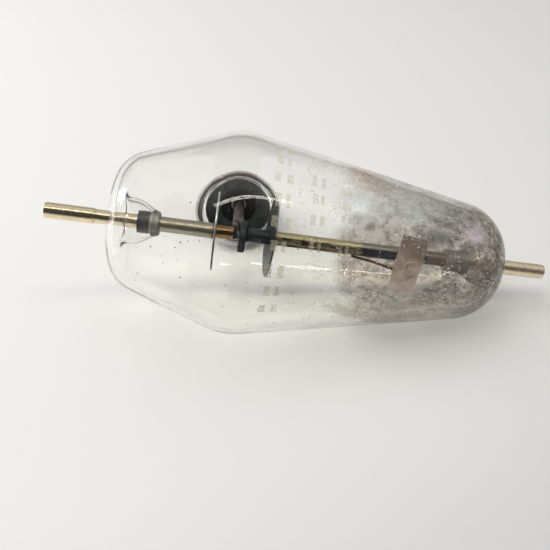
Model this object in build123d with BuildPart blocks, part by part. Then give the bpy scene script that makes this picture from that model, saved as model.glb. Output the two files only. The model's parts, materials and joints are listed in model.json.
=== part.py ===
"""High-voltage vacuum switch tube, lying on a bench. Millimetres, +Z up.

Two fixed contacts face each other on the axis of a double-cone glass bulb. A lever passes through a
flexible diaphragm in a metal cup on the side of the bulb, and swings the moving contact between them.

The bulb rests on the side of its narrow cone and on the rim of the side cup, so both the tube's axis
and the side arm slope down from the bulb. The origin is under the middle of the bounding box.
"""

from build123d import *
import os
from math import asin, atan2, cos, degrees, hypot, radians, sin, sqrt, tan

# ---- Driving dimensions. Stations run along the tube's axis, from 0 at the bulb's ridge. ----
APEX_RADIUS = 20.9  # where the two cones would meet
WIDE_CONE = radians(20.7)  # half-angle of the short cone
NARROW_CONE = radians(10.0)  # half-angle of the long cone
RIDGE_ROUND = 15.8
WIDE_WALL = -23.5  # outer face of the wide end
WIDE_CORNER = 7.0
NARROW_WALL = 56.5  # outer face of the narrow end
NARROW_CORNER = 10.3
GLASS = 1.1  # thickness of the bulb's glass

STEM_RADIUS = 4.6  # glass tubes that turn in from the end walls
STEM_GLASS = 0.9
WIDE_SEAL = -14.4  # inner end of each metal-to-glass seal
NARROW_SEAL = 45.2
WIDE_GLASS_END = -14.55  # how far in the glass runs along each sleeve
NARROW_GLASS_END = 48.2
BEAD_LENGTH = 1.4
BEAD_GLASS = 0.75
LIP_GLASS = 0.2
NARROW_STEM_INSET = 0.3  # the stem starts this far inside the rounded end
WIDE_SLEEVE_LENGTH = 4.3
NARROW_SLEEVE_LENGTH = 4.8
SLEEVE_RADIUS = 2.25

ROD_RADIUS = 1.5875  # 1/8 inch terminals
LEAD_RADIUS = 1.42  # rods through the seals
WIDE_TIP = -36.7
FERRULE_END = -27.3
SEAM = 0.12  # gap between the ferrule and its shoulder
NARROW_TIP = 67.8
NARROW_STEP = 57.0  # the lead ends and the thicker terminal starts
ROD_TIP_ROUND = 0.4
FINE_ROUND = 0.12
SPIGOT_RADIUS = 0.9
SPIGOT_LENGTH = 3.0
SOLID_END = 1.0  # how much of a bored rod or tube is left solid at its closed end

WIDE_TUBE_RADIUS = 1.57
NARROW_TUBE_RADIUS = 1.45
WIDE_TUBE_END = -3.9
COLLAR_LENGTH = 0.28
WIDE_CONTACT_RADIUS = 1.33
WIDE_CONTACT_END = 0.15
WIDE_CONTACT_FACE = 0.7
NARROW_CONTACT_FACE = 2.97
NARROW_CONTACT_END = 7.5
NARROW_CONTACT_RADIUS = 1.5
CONTACT_ROUND = 0.4
SHIELD_RADIUS = 7.95
SHIELD_THICKNESS = 0.35
SHIELD_TILT = 2.0  # degrees, on the narrow-end shield only
SHIELD_PLAY = 0.07

ARM_STATION = 1.5  # the side arm's own axis crosses the tube's here
NECK_RADIUS = 9.0
NECK_BORE = 8.1
NECK_END = 24.2  # reaches are distances from the tube's axis along the side arm
NECK_SHOULDER = 1.3
SEAL_RADIUS = 7.6
SEAL_THICKNESS = 0.3
SEAL_START = 21.4
CUP_RADIUS = 8.1
CUP_START = 24.6
CUP_STEP = 25.6
CUP_BORE = 6.9
CUP_LIP = 27.1
CUP_LIP_BORE = 5.6
CUP_END = 28.0
CLAMP_BORE = 4.6
CLAMP_THICKNESS = 1.0
PIVOT = 27.0
DIAPHRAGM_THICKNESS = 0.2
CORRUGATIONS = (2.4, 3.2, 4.0)  # radii of the diaphragm's ripples
RIPPLE = 0.34

HUB_RADIUS = 1.7
HUB_FLAT = 1.3
HUB_PLAY = 0.04
LEVER_TILT = radians(-0.8)  # how far the lever leans at rest
ARM_RADIUS = 1.25
ARM_LENGTH = 21.0  # from the pivot to the fork
TONGUE_END = 24.0
TONGUE_WIDTH = 2.0
TONGUE_THICKNESS = 0.95
TONGUE_DROP = -0.68
PIN_RADIUS = 0.8
LEVER_RADIUS = 1.5
LEVER_REACH = 36.0  # to the centre of its round tip
DISC_RADIUS = 3.3
DISC_THICKNESS = 1.4
DISC_DROP = 0.45
DISC_ROUND = 0.3
BRACKET_WIDTH = 2.6
BRACKET_END = 25.2
BRACKET_ROOT = (-0.05, -1.2)  # where its two edges meet the end of the arm
BRACKET_TOE = 0.8  # slant at its end, behind the disc
BRACKET_LAP = 0.1  # how far it reaches past the disc's face
BRACKET_TIP = 0.6  # thickness at its end
BRACKET_WAIST = (1.6, -0.4)  # the inner corner, from its end and from the lever's axis
DISC_GAP = 0.01  # round the disc in its bracket
DISC_PLAY = 0.12  # between the moving contact and the narrow-end contact at rest

GETTER_START = 34.2
GETTER_WIDTH = 5.8
GETTER_TOP = 4.4  # above the axis
GETTER_TURN = -4.5  # degrees, in its own plane
GETTER_LENGTH = 12.0
GETTER_THICKNESS = 0.25
GETTER_CORNER = 0.3
BUTTON_RADIUS = 1.45
BUTTON_STATION = 37.6
BUTTON_DROP = 2.3  # below the axis
BUTTON_HEIGHT = 0.5
BUTTON_RIM = 0.3
BUTTON_RECESS = 0.25
WIRE_RADIUS = 0.27
WIRE_BEND = 6.0
WIRE_POINTS = (  # station, distance below the axis, distance towards the front
    (25.2, NARROW_TUBE_RADIUS + WIRE_RADIUS, 0),
    (30.0, 2.3, 0.35),
    (35.6, 3.4, 1.1),
    (38.6, 3.55, 1.17),
)

# ---- How it lies: on the long cone's side and on the cup's rim ----
DIP = NARROW_CONE
axis_height = APEX_RADIUS * cos(DIP) - ARM_STATION * sin(DIP)  # over the side arm
rim_distance = hypot(CUP_END, CUP_RADIUS)
slope = asin(axis_height / rim_distance) - atan2(CUP_RADIUS, CUP_END)  # of the side arm
LEAN = asin(sin(slope) / cos(DIP))

along = Vector(cos(DIP), 0, -sin(DIP))  # tube axis, towards the narrow end
side = Vector(-sin(LEAN) * sin(DIP), cos(LEAN), -sin(LEAN) * cos(DIP))  # out along the side arm
across = side.cross(along)  # the lever's hinge axis, downwards

# The bounding box's middle, measured from station 0
low_x = (WIDE_TIP + FINE_ROUND) * cos(DIP) - (ROD_RADIUS - FINE_ROUND) * sin(DIP) - FINE_ROUND
high_x = (NARROW_TIP - ROD_TIP_ROUND) * cos(DIP) + (ROD_RADIUS - ROD_TIP_ROUND) * sin(DIP)
high_x = high_x + ROD_TIP_ROUND
apex_shift = RIDGE_ROUND * (1 / cos(WIDE_CONE) - 1 / cos(NARROW_CONE))
apex_shift = apex_shift / (tan(WIDE_CONE) + tan(NARROW_CONE))
ridge_radius = APEX_RADIUS + tan(WIDE_CONE) * apex_shift - RIDGE_ROUND / cos(WIDE_CONE) + RIDGE_ROUND
tip_reach = PIVOT + (LEVER_REACH - PIVOT) * cos(LEVER_TILT)
high_y = tip_reach * cos(LEAN) + LEVER_RADIUS
start = Vector(-(low_x + high_x) / 2, (ridge_radius - high_y) / 2, APEX_RADIUS * cos(DIP))


def on_axis(station):
    """A point on the tube's axis."""
    return start + along * station


def on_arm(reach):
    """A point on the side arm's axis."""
    return on_axis(ARM_STATION) + side * reach


def across_tube(station):
    """A plane across the tube, facing the narrow end: x out along the side arm."""
    return Plane(origin=on_axis(station), x_dir=side, z_dir=along)


def across_arm(reach):
    """A plane across the side arm, facing outwards: x along the tube."""
    return Plane(origin=on_arm(reach), x_dir=along, z_dir=side)


profile = Plane(origin=start, x_dir=along, z_dir=(0, -1, 0))  # x is the station, y the radius
arm_profile = Plane(origin=on_axis(ARM_STATION), x_dir=side, z_dir=across)  # x is the reach
tube_axis = Axis(start, along)
arm_axis = Axis(on_axis(ARM_STATION), side)

inward = side * -cos(LEVER_TILT) + along * sin(LEVER_TILT)  # from the pivot to the contacts
lever_plane = Plane(origin=on_arm(PIVOT), x_dir=inward, z_dir=across)  # y towards the wide end


def across_lever(distance):
    """A plane across the lever, facing the contacts, at a distance from the pivot."""
    return Plane(origin=on_arm(PIVOT) + inward * distance, x_dir=across, z_dir=inward)


def write(piece, label):
    """Labels a finished piece and writes its STEP file."""
    piece.part.label = label
    export_step(piece.part, f"parts/{label}.step")
    print(f"{label:26s} {piece.part.volume:9.2f} mm3, {len(piece.part.solids())} solid")


def bulb_outline(inset):
    """The bulb's half-profile, inset by a distance: two cones, a round ridge and round corners."""
    wide_radius = APEX_RADIUS - inset / cos(WIDE_CONE)
    narrow_radius = APEX_RADIUS - inset / cos(NARROW_CONE)
    meet = (narrow_radius - wide_radius) / (tan(WIDE_CONE) + tan(NARROW_CONE))
    left = WIDE_WALL + inset
    right = NARROW_WALL - inset
    points = [
        (left, 0),
        (left, wide_radius + left * tan(WIDE_CONE)),
        (meet, wide_radius + meet * tan(WIDE_CONE)),
        (right, narrow_radius - right * tan(NARROW_CONE)),
        (right, 0),
    ]
    with BuildSketch(profile) as outline:
        with BuildLine():
            rounds = [WIDE_CORNER - inset, RIDGE_ROUND - inset, NARROW_CORNER - inset]
            FilletPolyline(*points, radius=rounds)
            Line(points[-1], points[0])
        make_face()
    return outline.sketch


def stem_outline(wall, glass_end):
    """Half-profile of a glass stem: a tube from the end wall that closes in on the metal sleeve."""
    step = 1 if glass_end > wall else -1
    bead = glass_end - step * BEAD_LENGTH
    shoulder = bead - step * (STEM_RADIUS - SLEEVE_RADIUS)
    points = [
        (wall, STEM_RADIUS - STEM_GLASS),
        (wall, STEM_RADIUS),
        (shoulder, STEM_RADIUS),
        (bead, SLEEVE_RADIUS + BEAD_GLASS),
        (glass_end, SLEEVE_RADIUS + LIP_GLASS),
        (glass_end, SLEEVE_RADIUS),
        (bead, SLEEVE_RADIUS),
        (shoulder - step * LIP_GLASS, STEM_RADIUS - STEM_GLASS),
    ]
    with BuildSketch(profile) as outline:
        with BuildLine():
            Polyline(*points, close=True)
        make_face()
    return outline.sketch


os.makedirs("parts", exist_ok=True)

# ---- Glass ----
with BuildPart() as glass_envelope:
    add(bulb_outline(0))
    revolve(axis=tube_axis)
    with BuildSketch(arm_profile):
        with BuildLine():
            neck_points = [(0, 0), (NECK_END, 0), (NECK_END, NECK_RADIUS), (0, NECK_RADIUS)]
            Line(neck_points[0], neck_points[1])
            FilletPolyline(*neck_points[1:], radius=NECK_SHOULDER)
            Line(neck_points[-1], neck_points[0])
        make_face()
    revolve(axis=arm_axis)
    add(bulb_outline(GLASS))
    revolve(axis=tube_axis, mode=Mode.SUBTRACT)
    with BuildSketch(across_arm(0)):
        Circle(NECK_BORE)
    extrude(amount=NECK_END - NECK_SHOULDER, mode=Mode.SUBTRACT)
    with BuildSketch(across_arm(0)):
        Circle(SEAL_RADIUS)
    extrude(amount=NECK_END + NECK_SHOULDER, mode=Mode.SUBTRACT)
    for wall_station in (WIDE_WALL, NARROW_WALL):
        with BuildSketch(across_tube(wall_station)):
            Circle(STEM_RADIUS)
        extrude(amount=2 * GLASS, both=True, mode=Mode.SUBTRACT)
write(glass_envelope, "glass_envelope")

for end_name, end_wall, glass_end in (
    ("wide_end", WIDE_WALL, WIDE_GLASS_END),
    ("narrow_end", NARROW_WALL - NARROW_STEM_INSET, NARROW_GLASS_END),
):
    with BuildPart() as stem:
        add(stem_outline(end_wall, glass_end))
        revolve(axis=tube_axis)
    write(stem, f"{end_name}_stem")

# ---- Metal sleeves sealed into the stems ----
with BuildPart() as wide_end_seal_sleeve:
    with BuildSketch(across_tube(WIDE_SEAL - WIDE_SLEEVE_LENGTH)):
        Circle(SLEEVE_RADIUS)
        Circle(LEAD_RADIUS, mode=Mode.SUBTRACT)
    extrude(amount=WIDE_SLEEVE_LENGTH)
write(wide_end_seal_sleeve, "wide_end_seal_sleeve")

with BuildPart() as narrow_end_seal_sleeve:
    with BuildSketch(across_tube(NARROW_SEAL)):
        Circle(SLEEVE_RADIUS)
        Circle(LEAD_RADIUS, mode=Mode.SUBTRACT)
    extrude(amount=NARROW_SLEEVE_LENGTH)
write(narrow_end_seal_sleeve, "narrow_end_seal_sleeve")

# ---- Terminals ----
lead_end = WIDE_SEAL - WIDE_SLEEVE_LENGTH / 2  # lead and support tube meet inside the sleeve
with BuildPart() as wide_end_terminal:
    with BuildSketch(across_tube(FERRULE_END + SEAM)):
        Circle(LEAD_RADIUS)
    extrude(amount=lead_end - FERRULE_END - SEAM)
    with BuildSketch(across_tube(WIDE_TIP + SOLID_END)):
        Circle(SPIGOT_RADIUS)
    extrude(amount=FERRULE_END + SEAM - WIDE_TIP - SOLID_END)
write(wide_end_terminal, "wide_end_terminal")

with BuildPart() as wide_end_ferrule:
    with BuildSketch(across_tube(WIDE_TIP)):
        Circle(ROD_RADIUS)
    extrude(amount=FERRULE_END - WIDE_TIP)
    with BuildSketch(across_tube(WIDE_TIP + SOLID_END)):
        Circle(SPIGOT_RADIUS)
    extrude(amount=FERRULE_END - WIDE_TIP - SOLID_END, mode=Mode.SUBTRACT)
    ferrule_tip = wide_end_ferrule.edges().filter_by(GeomType.CIRCLE).sort_by(tube_axis)[0]
    fillet(ferrule_tip, FINE_ROUND)
write(wide_end_ferrule, "wide_end_ferrule")

with BuildPart() as narrow_end_terminal:
    with BuildSketch(across_tube(NARROW_SEAL + NARROW_SLEEVE_LENGTH / 2)):
        Circle(LEAD_RADIUS)
    extrude(amount=NARROW_STEP - NARROW_SEAL - NARROW_SLEEVE_LENGTH / 2)
    with BuildSketch(across_tube(NARROW_STEP)):
        Circle(ROD_RADIUS)
    extrude(amount=NARROW_TIP - NARROW_STEP)
    terminal_tip = narrow_end_terminal.edges().filter_by(GeomType.CIRCLE).sort_by(tube_axis)[-1]
    fillet(terminal_tip, ROD_TIP_ROUND)
write(narrow_end_terminal, "narrow_end_terminal")

# ---- Support tubes inside the bulb ----
with BuildPart() as wide_end_support_tube:
    with BuildSketch(across_tube(WIDE_SEAL)):
        Circle(WIDE_TUBE_RADIUS)
    extrude(amount=WIDE_TUBE_END - WIDE_SEAL)
    with BuildSketch(across_tube(lead_end)):
        Circle(LEAD_RADIUS)
    extrude(amount=WIDE_SEAL - lead_end)
    with BuildSketch(across_tube(lead_end + SOLID_END)):
        Circle(SPIGOT_RADIUS)
    extrude(amount=WIDE_TUBE_END - lead_end - SOLID_END, mode=Mode.SUBTRACT)
write(wide_end_support_tube, "wide_end_support_tube")

shield_station = NARROW_CONTACT_END + SHIELD_PLAY
narrow_tube_start = shield_station + SHIELD_THICKNESS + SHIELD_PLAY + COLLAR_LENGTH
narrow_tube_end = NARROW_SEAL + NARROW_SLEEVE_LENGTH / 2
with BuildPart() as narrow_end_support_tube:
    with BuildSketch(across_tube(narrow_tube_start)):
        Circle(NARROW_TUBE_RADIUS)
    extrude(amount=NARROW_SEAL - narrow_tube_start)
    with BuildSketch(across_tube(NARROW_SEAL)):
        Circle(LEAD_RADIUS)
    extrude(amount=narrow_tube_end - NARROW_SEAL)
    with BuildSketch(across_tube(narrow_tube_start)):
        Circle(SPIGOT_RADIUS)
    extrude(amount=narrow_tube_end - narrow_tube_start - SOLID_END, mode=Mode.SUBTRACT)
write(narrow_end_support_tube, "narrow_end_support_tube")

# ---- Fixed contacts ----
with BuildPart() as wide_end_contact:
    with BuildSketch(across_tube(WIDE_TUBE_END)):
        Circle(WIDE_CONTACT_RADIUS)
    extrude(amount=WIDE_CONTACT_END - WIDE_TUBE_END)
    with BuildSketch(across_tube(WIDE_TUBE_END - SPIGOT_LENGTH)):
        Circle(SPIGOT_RADIUS)
    extrude(amount=SPIGOT_LENGTH)
write(wide_end_contact, "wide_end_contact")

with BuildPart() as wide_end_contact_tip:
    with BuildSketch(across_tube(WIDE_CONTACT_END)):
        Circle(WIDE_CONTACT_RADIUS)
    extrude(amount=WIDE_CONTACT_FACE - WIDE_CONTACT_END)
    tip_edge = wide_end_contact_tip.edges().filter_by(GeomType.CIRCLE).sort_by(tube_axis)[-1]
    fillet(tip_edge, CONTACT_ROUND)
write(wide_end_contact_tip, "wide_end_contact_tip")

with BuildPart() as narrow_end_contact:
    with BuildSketch(across_tube(NARROW_CONTACT_FACE)):
        Circle(NARROW_CONTACT_RADIUS)
    extrude(amount=NARROW_CONTACT_END - NARROW_CONTACT_FACE)
    face_edge = narrow_end_contact.edges().filter_by(GeomType.CIRCLE).sort_by(tube_axis)[0]
    fillet(face_edge, CONTACT_ROUND)
    with BuildSketch(across_tube(NARROW_CONTACT_END)):
        Circle(SPIGOT_RADIUS)
    extrude(amount=SPIGOT_LENGTH)
write(narrow_end_contact, "narrow_end_contact")

# ---- Arc shields and the collars that hold them ----
wide_shield_station = WIDE_TUBE_END + COLLAR_LENGTH
with BuildPart() as wide_end_shield_collar:
    with BuildSketch(across_tube(WIDE_TUBE_END)):
        Circle(WIDE_TUBE_RADIUS)
        Circle(WIDE_CONTACT_RADIUS, mode=Mode.SUBTRACT)
    extrude(amount=COLLAR_LENGTH)
write(wide_end_shield_collar, "wide_end_shield_collar")

with BuildPart() as wide_end_arc_shield:
    with BuildSketch(across_tube(wide_shield_station)):
        Circle(SHIELD_RADIUS)
        Circle(WIDE_CONTACT_RADIUS, mode=Mode.SUBTRACT)
    extrude(amount=SHIELD_THICKNESS)
    fillet(wide_end_arc_shield.edges().filter_by(GeomType.CIRCLE).group_by(SortBy.RADIUS)[-1], FINE_ROUND)
write(wide_end_arc_shield, "wide_end_arc_shield")

with BuildPart() as narrow_end_arc_shield:
    tilted = across_tube(shield_station).rotated((0, SHIELD_TILT, 0))
    with BuildSketch(tilted):
        Circle(SHIELD_RADIUS)
        Circle(SPIGOT_RADIUS + SHIELD_PLAY, mode=Mode.SUBTRACT)
    extrude(amount=SHIELD_THICKNESS)
    fillet(narrow_end_arc_shield.edges().filter_by(GeomType.CIRCLE).group_by(SortBy.RADIUS)[-1], FINE_ROUND)
write(narrow_end_arc_shield, "narrow_end_arc_shield")

with BuildPart() as narrow_end_shield_collar:
    with BuildSketch(across_tube(narrow_tube_start - COLLAR_LENGTH)):
        Circle(NARROW_TUBE_RADIUS)
        Circle(SPIGOT_RADIUS, mode=Mode.SUBTRACT)
    extrude(amount=COLLAR_LENGTH)
write(narrow_end_shield_collar, "narrow_end_shield_collar")

# ---- Getter: a plate on the support tube, its cup and its wire ----
getter_back = -NARROW_TUBE_RADIUS
with BuildPart() as getter_plate:
    getter_face = Plane(origin=on_axis(0) + side * getter_back, x_dir=along, z_dir=-side)
    with BuildSketch(getter_face):
        with Locations((GETTER_START + GETTER_WIDTH / 2, GETTER_TOP - GETTER_LENGTH / 2)):
            RectangleRounded(GETTER_WIDTH, GETTER_LENGTH, GETTER_CORNER, rotation=GETTER_TURN)
    extrude(amount=GETTER_THICKNESS)
write(getter_plate, "getter_plate")

with BuildPart() as getter_cup:
    cup_base = getter_face.offset(GETTER_THICKNESS)
    with BuildSketch(cup_base):
        with Locations((BUTTON_STATION, -BUTTON_DROP)):
            Circle(BUTTON_RADIUS)
    extrude(amount=BUTTON_HEIGHT)
    with BuildSketch(cup_base.offset(BUTTON_HEIGHT)):
        with Locations((BUTTON_STATION, -BUTTON_DROP)):
            Circle(BUTTON_RADIUS - BUTTON_RIM)
    extrude(amount=-BUTTON_RECESS, mode=Mode.SUBTRACT)
write(getter_cup, "getter_cup")

with BuildPart() as getter_wire:
    wire_points = [on_axis(s) + across * drop - side * front for s, drop, front in WIRE_POINTS]
    with BuildLine() as wire_path:
        FilletPolyline(*wire_points, radius=WIRE_BEND)
    wire_start = Plane(origin=wire_path.line @ 0, z_dir=wire_path.line % 0)
    with BuildSketch(wire_start):
        Circle(WIRE_RADIUS)
    sweep(path=wire_path.line)
write(getter_wire, "getter_wire")

# ---- Side arm: seal, cup, diaphragm ----
with BuildPart() as side_seal_sleeve:
    with BuildSketch(across_arm(SEAL_START)):
        Circle(SEAL_RADIUS)
        Circle(SEAL_RADIUS - SEAL_THICKNESS, mode=Mode.SUBTRACT)
    extrude(amount=CUP_STEP - SEAL_START)
write(side_seal_sleeve, "side_seal_sleeve")

with BuildPart() as side_cup:
    with BuildSketch(across_arm(CUP_START)):
        Circle(CUP_RADIUS)
    extrude(amount=CUP_END - CUP_START)
    with BuildSketch(across_arm(CUP_START)):
        Circle(SEAL_RADIUS)
    extrude(amount=CUP_STEP - CUP_START, mode=Mode.SUBTRACT)
    with BuildSketch(across_arm(CUP_START)):
        Circle(CUP_BORE)
    extrude(amount=CUP_LIP - CUP_START, mode=Mode.SUBTRACT)
    with BuildSketch(across_arm(CUP_START)):
        Circle(CUP_LIP_BORE)
    extrude(amount=CUP_END - CUP_START, mode=Mode.SUBTRACT)
write(side_cup, "side_cup")

with BuildPart() as diaphragm_clamp_ring:
    with BuildSketch(across_arm(CUP_LIP - DIAPHRAGM_THICKNESS - CLAMP_THICKNESS)):
        Circle(CUP_BORE)
        Circle(CLAMP_BORE, mode=Mode.SUBTRACT)
    extrude(amount=CLAMP_THICKNESS)
write(diaphragm_clamp_ring, "diaphragm_clamp_ring")

diaphragm_back = CUP_LIP - DIAPHRAGM_THICKNESS
with BuildPart() as diaphragm:
    with BuildSketch(arm_profile):
        hub_edge = HUB_RADIUS + HUB_PLAY
        with Locations((diaphragm_back + DIAPHRAGM_THICKNESS / 2, (CUP_BORE + hub_edge) / 2)):
            Rectangle(DIAPHRAGM_THICKNESS, CUP_BORE - hub_edge)
        for ripple_radius in CORRUGATIONS:
            with Locations((CUP_LIP, ripple_radius)):
                Circle(RIPPLE)
                Circle(RIPPLE - DIAPHRAGM_THICKNESS, mode=Mode.SUBTRACT)
            with Locations((diaphragm_back - RIPPLE, ripple_radius)):
                Rectangle(RIPPLE * 2, RIPPLE * 2, mode=Mode.SUBTRACT)
            with Locations((diaphragm_back, ripple_radius)):
                mouth = 2 * (RIPPLE - DIAPHRAGM_THICKNESS)
                Rectangle(DIAPHRAGM_THICKNESS * 2, mouth, mode=Mode.SUBTRACT)
    revolve(axis=arm_axis)
write(diaphragm, "diaphragm")

# ---- Lever ----
with BuildPart() as lever_hub:
    with BuildSketch(lever_plane):
        with BuildLine():
            flat_radius = sqrt(HUB_RADIUS**2 - HUB_FLAT**2)
            inner_edge = (HUB_FLAT, flat_radius)
            outer_edge = (-HUB_FLAT, flat_radius)
            Polyline(inner_edge, (HUB_FLAT, PIN_RADIUS), (-HUB_FLAT, PIN_RADIUS), outer_edge)
            ThreePointArc(outer_edge, (0, HUB_RADIUS), inner_edge)
        make_face()
    revolve(axis=Axis(on_arm(PIVOT), inward))
write(lever_hub, "lever_hub")

with BuildPart() as contact_arm:
    with BuildSketch(across_lever(HUB_FLAT)):
        Circle(ARM_RADIUS)
    extrude(amount=ARM_LENGTH - HUB_FLAT)
    with BuildSketch(across_lever(ARM_LENGTH)):
        with Locations((0, TONGUE_DROP)):
            Rectangle(TONGUE_WIDTH, TONGUE_THICKNESS)
    extrude(amount=TONGUE_END - ARM_LENGTH)
    with BuildSketch(across_lever(HUB_FLAT)):
        Circle(PIN_RADIUS)
    extrude(amount=SPIGOT_LENGTH, mode=Mode.SUBTRACT)
write(contact_arm, "contact_arm")

disc_front = NARROW_CONTACT_FACE - DISC_PLAY - ARM_STATION  # from the side arm's axis, along the tube
disc_face = -(disc_front - PIVOT * sin(LEVER_TILT)) / cos(LEVER_TILT)
disc_plane = Plane(
    origin=lever_plane.from_local_coords((PIVOT / cos(LEVER_TILT), disc_face, DISC_DROP)),
    x_dir=across,
    z_dir=lever_plane.y_dir,
)
with BuildPart() as moving_contact:
    with BuildSketch(disc_plane):
        Circle(DISC_RADIUS)
    extrude(amount=DISC_THICKNESS)
    fillet(moving_contact.edges().filter_by(GeomType.CIRCLE), DISC_ROUND)
write(moving_contact, "moving_contact")

with BuildPart() as contact_bracket:
    with BuildSketch(lever_plane.offset(-BRACKET_WIDTH / 2)):
        with BuildLine():
            Polyline(
                (ARM_LENGTH, BRACKET_ROOT[0]),
                (ARM_LENGTH, BRACKET_ROOT[1]),
                (BRACKET_END - BRACKET_TOE, disc_face - BRACKET_LAP),
                (BRACKET_END, disc_face + BRACKET_LAP / 2),
                (BRACKET_END, disc_face + BRACKET_TIP),
                (BRACKET_END - BRACKET_WAIST[0], BRACKET_WAIST[1]),
                close=True,
            )
        make_face()
    extrude(amount=BRACKET_WIDTH)
    with BuildSketch(disc_plane):
        Circle(DISC_RADIUS + DISC_GAP)
    extrude(amount=DISC_THICKNESS + DISC_GAP, mode=Mode.SUBTRACT)
write(contact_bracket, "contact_bracket")

outer_length = LEVER_REACH - PIVOT
with BuildPart() as operating_lever:
    with BuildSketch(lever_plane):
        with BuildLine():
            Polyline(
                (-outer_length - LEVER_RADIUS, 0),
                (HUB_FLAT + SPIGOT_LENGTH, 0),
                (HUB_FLAT + SPIGOT_LENGTH, PIN_RADIUS),
                (-HUB_FLAT, PIN_RADIUS),
                (-HUB_FLAT, LEVER_RADIUS),
                (-outer_length, LEVER_RADIUS),
            )
            round_middle = LEVER_RADIUS * sqrt(0.5)
            ThreePointArc(
                (-outer_length, LEVER_RADIUS),
                (-outer_length - round_middle, round_middle),
                (-outer_length - LEVER_RADIUS, 0),
            )
        make_face()
    revolve(axis=Axis(on_arm(PIVOT), inward))
write(operating_lever, "operating_lever")

print("side arm slope", degrees(slope), "lean", degrees(LEAN), "ridge radius", ridge_radius)
for name, point, direction in (
    ("wide pin", on_axis(WIDE_TIP + 0.2), -along),
    ("narrow pin", on_axis(NARROW_WALL), along),
    ("lever", on_arm(PIVOT), across),
    ("side", on_arm(CUP_START), side),
    ("lever pin", on_arm(PIVOT) - inward * HUB_FLAT, -inward),
):
    print(name, [round(c, 5) for c in point], [round(c, 6) for c in direction])
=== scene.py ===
"""A glass high-voltage vacuum switch tube lying on a pale surface. Metres, in the CAD's row frame."""

import json
from math import acos, atan2, cos, pi, radians, sin, sqrt, tan

import bpy
import numpy as np
from mathutils import Matrix, Vector, noise


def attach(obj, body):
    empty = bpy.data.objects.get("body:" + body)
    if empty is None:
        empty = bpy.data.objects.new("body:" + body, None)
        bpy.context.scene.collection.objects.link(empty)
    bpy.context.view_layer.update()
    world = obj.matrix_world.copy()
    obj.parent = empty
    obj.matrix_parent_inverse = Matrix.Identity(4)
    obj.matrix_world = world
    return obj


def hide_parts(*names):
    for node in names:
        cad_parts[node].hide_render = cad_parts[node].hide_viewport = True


MM = 0.001
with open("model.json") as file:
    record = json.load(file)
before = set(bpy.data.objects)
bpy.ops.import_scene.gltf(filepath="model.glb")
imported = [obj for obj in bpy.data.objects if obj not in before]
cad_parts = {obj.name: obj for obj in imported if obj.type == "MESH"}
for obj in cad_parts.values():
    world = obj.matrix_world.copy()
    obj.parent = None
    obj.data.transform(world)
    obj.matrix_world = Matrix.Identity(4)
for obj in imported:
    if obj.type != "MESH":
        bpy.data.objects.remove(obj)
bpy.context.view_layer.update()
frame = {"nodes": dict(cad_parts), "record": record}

# ---- The tube's own frame: x along its axis, y out along the side arm, z upwards; 0 at the ridge ----
WIDE_PIN_STATION = -36.5
mounts = {mount["name"]: mount for mount in frame["record"]["mounts"]}
wide_pin = mounts["wide_end_terminal_pin"]
along = -Vector(wide_pin["axis"])
hinge = Vector(frame["record"]["behaviour"]["joints"][0]["axis"])
side = along.cross(hinge)
origin = Vector(wide_pin["pos_m"]) - along * WIDE_PIN_STATION * MM
tube = Matrix((along, side, -hinge)).transposed().to_4x4()
tube.translation = origin

# ---- Shape of the bulb, in mm, as in the CAD ----
APEX_RADIUS = 20.9
WIDE_CONE = radians(20.7)
NARROW_CONE = radians(10.0)
RIDGE_ROUND = 15.8
WIDE_WALL = -23.5
WIDE_CORNER = 7.0
NARROW_WALL = 56.5
NARROW_CORNER = 10.3
GLASS = 1.1
STEM_RADIUS = 4.6
STEM_GLASS = 0.9
WIDE_SEAL = -14.4
WIDE_GLASS_END = -14.55
NARROW_GLASS_END = 48.2
BEAD_LENGTH = 1.4
BEAD_GLASS = 0.75
LIP_GLASS = 0.2
SLEEVE_RADIUS = 2.25
SLEEVE_GRIP = SLEEVE_RADIUS - 0.05  # the glass runs a little way into the metal
ARM_STATION = 1.5
NECK_RADIUS = 9.0
NECK_BORE = 8.1
NECK_END = 24.2
NECK_SHOULDER = 1.3
SEAL_RADIUS = 7.6

# ---- How the glass bends and how finely it is cut up, in mm ----
STEM_BENDS = [0.1, 2.0, 5.5]  # bends of the stem's vacuum side: lip, bead and shoulder
STEM_BEND = 4.6  # of its air side
WIDE_FLARE = 3.4  # reach of the bend where a stem meets the end wall
NARROW_FLARE = 3.0
INNER_FLARE_LESS = 0.9  # so much shorter on the vacuum side
WALL_STEP = 0.5
STEM_STEP = 0.4
STEPS_ROUND = 256
PATCH = 12.6  # half-length of the rebuilt patch round the side neck, in stations
PATCH_ROWS = 64
PATCH_COLUMNS = 60  # of STEPS_ROUND, across the patch
PATCH_MARGIN = 0.2
NECK_RINGS = 10  # rings from the patch's edge to the neck's foot, and again round the foot's bend
RISE_RINGS = 6  # up the neck
OUTER_FOOT = 1.9  # radius of the bend at the neck's foot
INNER_FOOT = 1.5
INNER_TURN = 0.75  # of NECK_SHOULDER, inside the rim
SEAL_GRIP = 0.06  # the rim runs this far into the sealing ring
OUTER_WAVE = (3.1, 0.05)  # seed and depth of the glass's unevenness
INNER_WAVE = (7.9, 0.05)


def unit(vector):
    return vector / np.linalg.norm(vector)


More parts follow.
